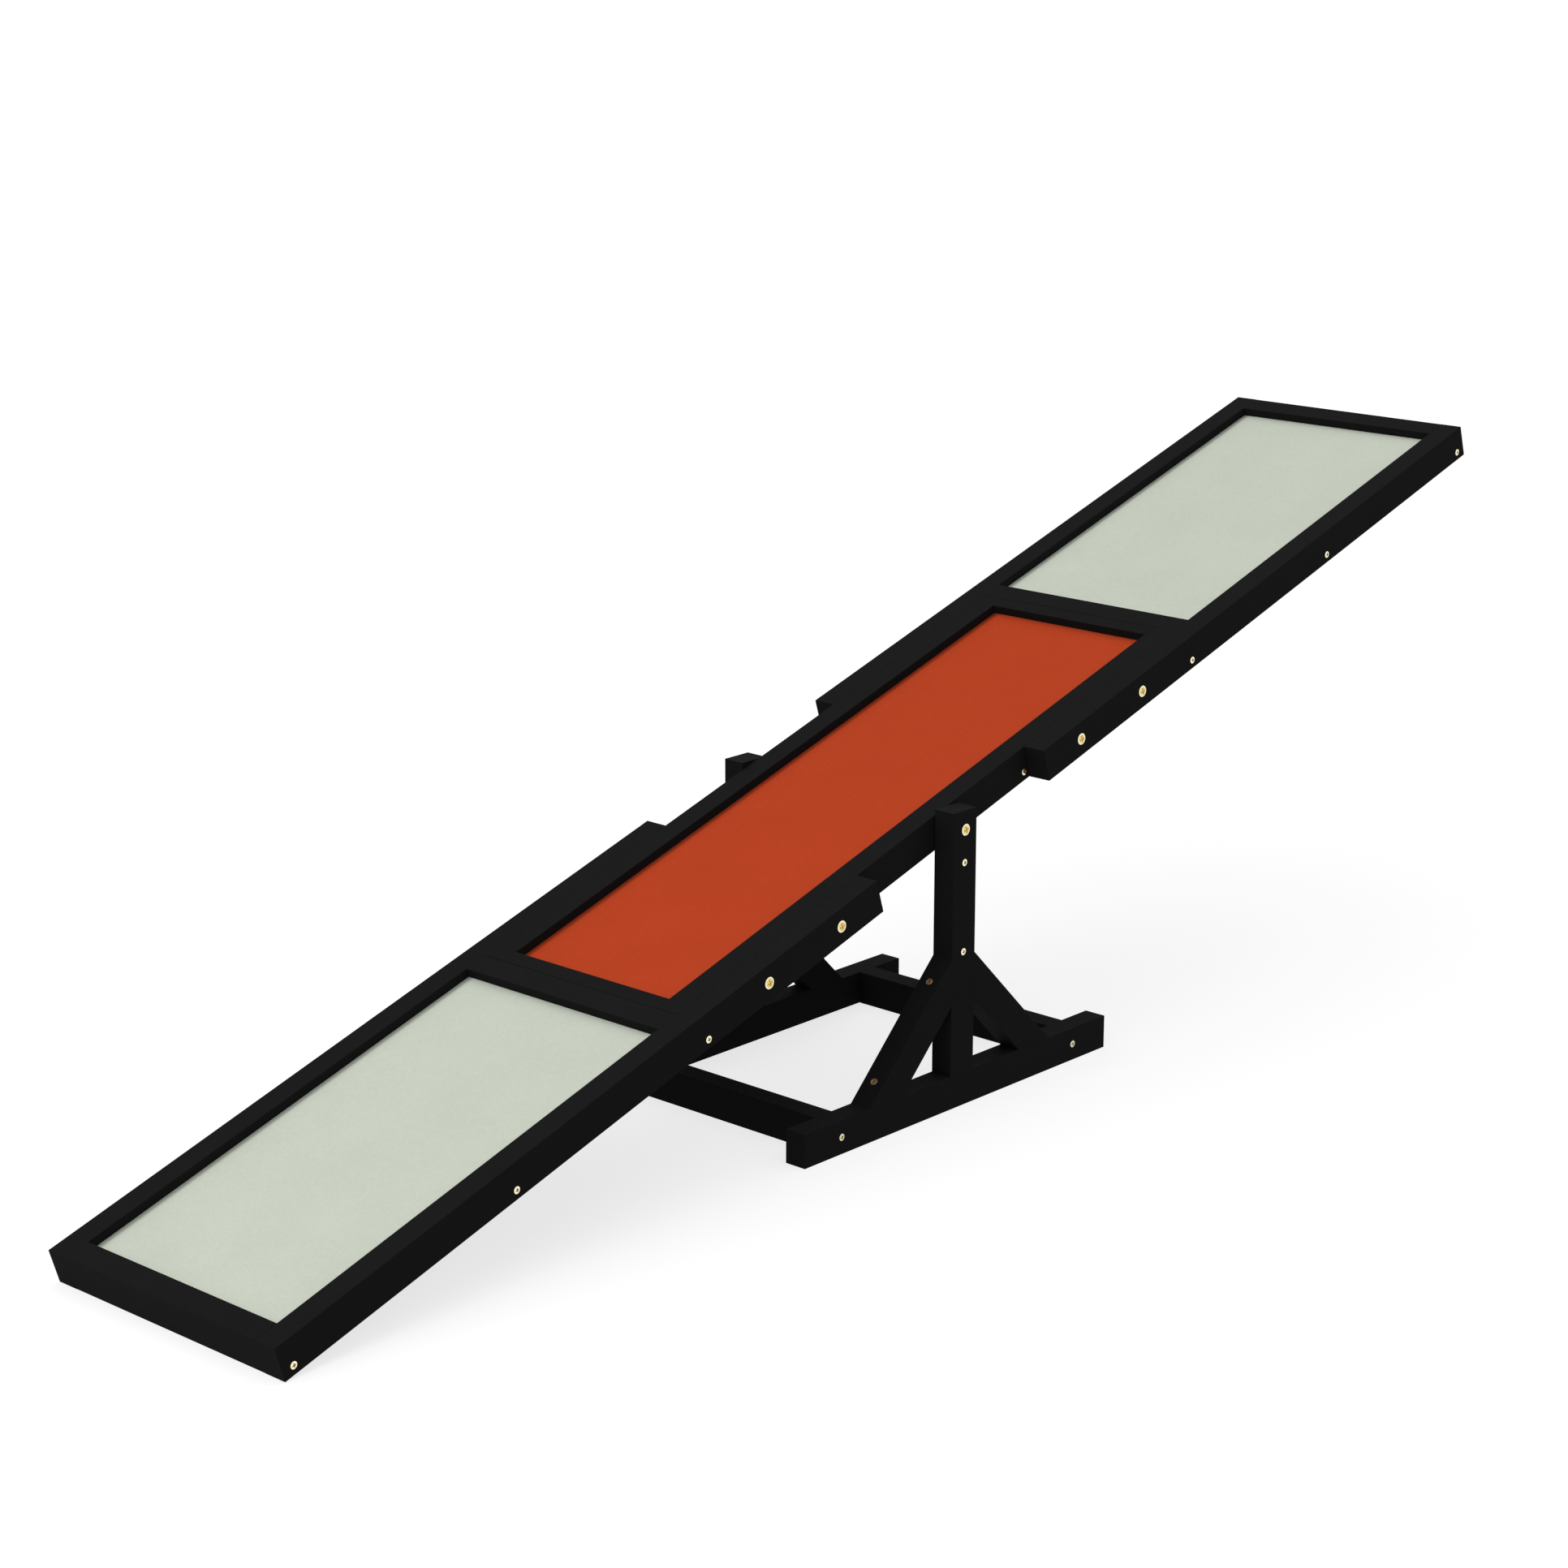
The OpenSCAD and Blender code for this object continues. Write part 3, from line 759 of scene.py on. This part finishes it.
# %% Bolt
BOLT_CREST = 3 * MM
BOLT_CORE = 2.5 * MM
BOLT_PITCH = 1 * MM
BOLT_FLANGE = 5.75 * MM
BOLT_FLANGE_THICK = 0.7 * MM
BOLT_CROWN = 4.5 * MM
BOLT_CROWN_RISE = 0.6 * MM
BOLT_CROSS = 6.8 * MM
BOLT_SLOT = 1.6 * MM
BOLT_THREADED = 17 * MM
BOLT_TAPER = 0.6 * MM
BOLT_CHAMFER = 0.4 * MM
BOLT_CHAMFER_LENGTH = 0.5 * MM
BOLT_SIDES = 40
FLANGE_EDGE = 0.2 * MM
FLANGE_HOLLOW = 0.01 * MM
FLANGE_FALL = 0.04 * MM
CROWN_FOOT = 0.1 * MM
CROWN_STEP = 0.08 * MM


def bolt(name, length, lift):
    """lift is the height of the flange's underside above the timber."""
    chamfer_ends = -length + BOLT_CHAMFER_LENGTH
    thread_top = -length + BOLT_THREADED
    flange_top = lift + BOLT_FLANGE_THICK
    profile = [
        (BOLT_CORE - BOLT_CHAMFER, -length),
        (BOLT_CORE, chamfer_ends),
        (BOLT_CORE, thread_top),
        (BOLT_CREST, thread_top + BOLT_TAPER),
        (BOLT_CREST, lift),
        (BOLT_FLANGE - FLANGE_EDGE, lift + FLANGE_HOLLOW),
        (BOLT_FLANGE, lift + FLANGE_EDGE),
        (BOLT_FLANGE, flange_top - FLANGE_EDGE),
        (BOLT_FLANGE - FLANGE_EDGE, flange_top - FLANGE_FALL),
        (BOLT_CROWN + CROWN_FOOT, flange_top),
        (BOLT_CROWN, flange_top + CROWN_STEP),
    ]
    crown = dome_profile(BOLT_CROWN, flange_top, BOLT_CROWN_RISE)[1:]
    made = turned(name, profile + crown, sides=BOLT_SIDES)
    made.data.materials.append(highlight_zinc)
    made.data.materials.append(yellow_zinc)
    # Painted highlight: the flange takes the cream copy of the plate, the crown the yellow one.
    for face in made.data.polygons:
        face.material_index = 1 if face.center.z > flange_top + CROWN_STEP / 4 else 0
    mouth = flange_top + dome_height(BOLT_CROWN, BOLT_CROWN_RISE, BOLT_CROSS / 2)
    cut_recess(made, BOLT_CROSS, BOLT_SLOT, flange_top + BOLT_CROWN_RISE, mouth, shaded_gold_zinc)
    add_thread(made, BOLT_CORE, BOLT_CREST, BOLT_PITCH, chamfer_ends, thread_top)
    return made


# %% [markdown]
# A fastener is modelled once and copied to every place where the frame holds one of its kind, each copy with
# its own mesh. The places are read from the frame: a copy of the node is merged and parted into its solids,
# and each solid says where its axis runs and how high its head reaches. The copies of one node become one
# object again, as identical screws share a node.


# %% Where the fasteners go
FASTENER_SMOOTH_TO = math.radians(35)


def solids_of(node):
    copy = frame["nodes"][node].copy()
    copy.data = copy.data.copy()
    copy.parent = None
    bpy.context.scene.collection.objects.link(copy)
    select_only(copy)
    bpy.ops.object.mode_set(mode="EDIT")
    bpy.ops.mesh.select_all(action="SELECT")
    bpy.ops.mesh.remove_doubles(threshold=SAME_POINT)
    bpy.ops.mesh.separate(type="LOOSE")
    bpy.ops.object.mode_set(mode="OBJECT")
    return list(bpy.context.selected_objects)


def sideways(middle):
    """Turns what points up so that it points out of the near or the far side, with its cross in line with
    the plank. The photograph shows the crosses of the stand's screws in line with it too."""
    return plank_turn @ Matrix.Rotation(math.copysign(math.pi / 2, -middle.y), 4, "X")


def square_to_brace(middle):
    return Matrix.Rotation(math.copysign(BRACE_SLOPE, middle.x), 4, "Y")


def upside_down(middle):
    return Matrix.Rotation(math.pi, 4, "X")


def place_fasteners(node, body, make, turn_for):
    """make takes a name and gives a fastener and the height of the top of its head; turn_for takes the
    middle of a solid and gives the turn that points a fastener's head outwards there."""
    pattern, top = make(node + "_pattern")
    copies = []
    for solid in solids_of(node):
        middle = sum((vertex.co for vertex in solid.data.vertices), Vector()) / len(solid.data.vertices)
        turn = turn_for(middle)
        lowest, highest = extent(solid, turn.inverted())
        bpy.data.objects.remove(solid)
        axis_at = Vector(((lowest.x + highest.x) / 2, (lowest.y + highest.y) / 2, highest.z - top))
        copy = pattern.copy()
        copy.data = pattern.data.copy()
        bpy.context.scene.collection.objects.link(copy)
        settle(copy, turn @ Matrix.Translation(axis_at))
        copies.append(copy)
    bpy.data.objects.remove(pattern)
    count = len(copies)
    group = copies[0]
    select_only(group)
    for copy in copies:
        copy.select_set(True)
    bpy.ops.object.join()
    group.name = node + "_threaded"
    bpy.ops.object.shade_smooth_by_angle(angle=FASTENER_SMOOTH_TO)
    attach(group, body)
    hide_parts(node)
    print(group.name, count, "pieces,", len(group.data.polygons), "faces")


# %% [markdown]
# The lengths follow what each screw joins. A rail's screw passes through 25 mm of rail and bites 25 mm into
# the next piece; the long ones pass both rails of an overlap; and the ones in the stand fit its thinner
# stock. Each line gives a screw's length, its body, the way it faces and its plate.

# %% Screws and bolts in place
SCREW_RISE = 0.5 * MM
# The cream plate is a painted highlight, and the dull brown plate of the brace screws is a painted reflection of
# the black plank above them.
SCREWS = {
    "end_frame_screws": (50 * MM, "plank", sideways, highlight_zinc),
    "overlap_screws": (75 * MM, "plank", sideways, highlight_zinc),
    "middle_frame_screws": (50 * MM, "plank", sideways, highlight_zinc),
    "base_screws": (49 * MM, "stand", sideways, duller_zinc),
    "post_screws": (20 * MM, "stand", sideways, highlight_zinc),
    "brace_screws": (45 * MM, "stand", square_to_brace, dark_reflection_zinc),
    "foot_screws": (59 * MM, "stand", upside_down, highlight_zinc),
}
for node, (length, body, turn_for, plate) in SCREWS.items():
    place_fasteners(
        node,
        body,
        lambda name: (wood_screw(name, length, SCREW_RISE, plate), SCREW_RISE),
        turn_for,
    )

BOLT_LENGTH = 40 * MM
PIVOT_PLAY = 0.3 * MM
BOLT_HEAD = BOLT_FLANGE_THICK + BOLT_CROWN_RISE
place_fasteners("overlap_bolts", "plank", lambda name: (bolt(name, BOLT_LENGTH, 0), BOLT_HEAD), sideways)
place_fasteners(
    "pivot_bolts",
    "plank",
    lambda name: (bolt(name, BOLT_LENGTH, PIVOT_PLAY), PIVOT_PLAY + BOLT_HEAD),
    sideways,
)

# %% [markdown]
# The floor is one wide plain sheet that glows a little, like a light table, so that some light also reaches
# what lies under the plank. The camera should see it as a white studio floor, so it glows more for camera
# rays, and for the rays that metal reflects, and still shows the shadow under the plank.

# %% Floor
FLOOR_SIZE = 60
FLOOR_DROP = 0.2 * MM
FLOOR_GREY = "#959595"
FLOOR_GLOW = 0.25
FLOOR_GLOW_SEEN = 0.75


def seen_directly(material):
    """1 for rays from the camera and for those that metal or glass send on, otherwise 0."""
    path = add_node(material, "LightPath").outputs
    first = add_node(material, "Math", {
        0: path["Is Camera Ray"],
        1: path["Is Glossy Ray"],
    }, operation="MAXIMUM")
    return add_node(material, "Math", {
        0: first.outputs[0],
        1: path["Is Transmission Ray"],
    }, operation="MAXIMUM").outputs[0]


bpy.ops.mesh.primitive_plane_add(size=FLOOR_SIZE, location=(0, 0, -FLOOR_DROP))
floor = bpy.context.object
floor.name = "studio_floor"
white_floor = new_finish("plain_white_floor")
grey = add_node(white_floor, "BsdfDiffuse", {"Color": linear(FLOOR_GREY)})
glow = add_node(white_floor, "Emission", {
    "Strength": add_node(white_floor, "MapRange", {
        "Value": seen_directly(white_floor),
        "To Min": FLOOR_GLOW,
        "To Max": FLOOR_GLOW_SEEN,
    }).outputs[0],
})
both = add_node(white_floor, "AddShader", {0: grey.outputs[0], 1: glow.outputs[0]})
add_node(white_floor, "OutputMaterial", {"Surface": both.outputs[0]})
floor.data.materials.append(white_floor)

# %% [markdown]
# The light is that of a white tent beside a window: a sky that is brightest overhead and dark at the horizon,
# with a softer light from the side of the low end. Most of it comes from above, which is why the tops of the
# rails read lighter than their sides. A weak soft lamp near the low end makes the raised end a little darker.
# Seen directly, the sky is plain white.

# %% Light
SKY_OVERHEAD = 1.4
SKY_STARTS_AT = 0.15
WINDOW_SIDE = 0.5
LAMP_POWER = 6
LAMP_SIZE = 1.2
LAMP_PLACE = Vector((-2.2, -0.4, 1.6))
LAMP_AIM = Vector((-0.6, 0, 0.1))

sky = bpy.data.worlds.new("studio_sky")
sky.use_nodes = True
sky.node_tree.nodes.clear()
towards = add_node(sky, "SeparateXYZ", {"Vector": add_node(sky, "TexCoord").outputs["Generated"]}).outputs
from_above = add_node(sky, "MapRange", {
    "Value": towards["Z"],
    "From Min": SKY_STARTS_AT,
    "To Max": SKY_OVERHEAD,
}).outputs[0]
from_window = add_node(sky, "MapRange", {
    "Value": towards["X"],
    "From Min": 0.0,
    "From Max": -1.0,
    "To Max": WINDOW_SIDE,
}).outputs[0]
tent = add_node(sky, "Math", {0: from_above, 1: from_window}, operation="ADD").outputs[0]
sky_light = add_node(sky, "Background", {"Strength": tent, "Color": WHITE})
sky_seen = add_node(sky, "Background", {"Strength": 1.0, "Color": WHITE})
sky_mix = add_node(sky, "MixShader", {0: seen_directly(sky), 1: sky_light.outputs[0], 2: sky_seen.outputs[0]})
add_node(sky, "OutputWorld", {"Surface": sky_mix.outputs[0]})
bpy.context.scene.world = sky

bpy.ops.object.light_add(type="AREA", location=LAMP_PLACE)
lamp = bpy.context.object
lamp.name = "large_soft_lamp"
lamp.data.shape = "DISK"
lamp.data.size = LAMP_SIZE
lamp.data.energy = LAMP_POWER
lamp.rotation_euler = (LAMP_AIM - LAMP_PLACE).to_track_quat("-Z", "Y").to_euler()
lamp.visible_camera = False

# %% [markdown]
# The camera stands where the photograph was taken from: 3.4 m off, a little over a metre up, looking along
# the seesaw from its low end. Its place was worked out from the corners of the seesaw in the photograph.

# %% Camera
CAMERA_PLACE = Vector((-2.5322, -2.2207, 1.2323))
CAMERA_AIM = Vector((0, 0.0849, 0.2823))
CAMERA_ROLL = math.radians(0.04)
LENS = 81.57
SENSOR = 36
SEES_AS_FAR_AS = 100

bpy.ops.object.camera_add(location=CAMERA_PLACE)
camera = bpy.context.object
camera.name = "photograph_camera"
camera.data.lens = LENS
camera.data.sensor_width = SENSOR
camera.data.clip_end = SEES_AS_FAR_AS
looking = (CAMERA_AIM - CAMERA_PLACE).to_track_quat("-Z", "Y").to_matrix()
camera.rotation_euler = (looking @ Matrix.Rotation(CAMERA_ROLL, 3, "Z")).to_euler()
bpy.context.scene.camera = camera
bpy.context.scene.view_settings.view_transform = "Standard"
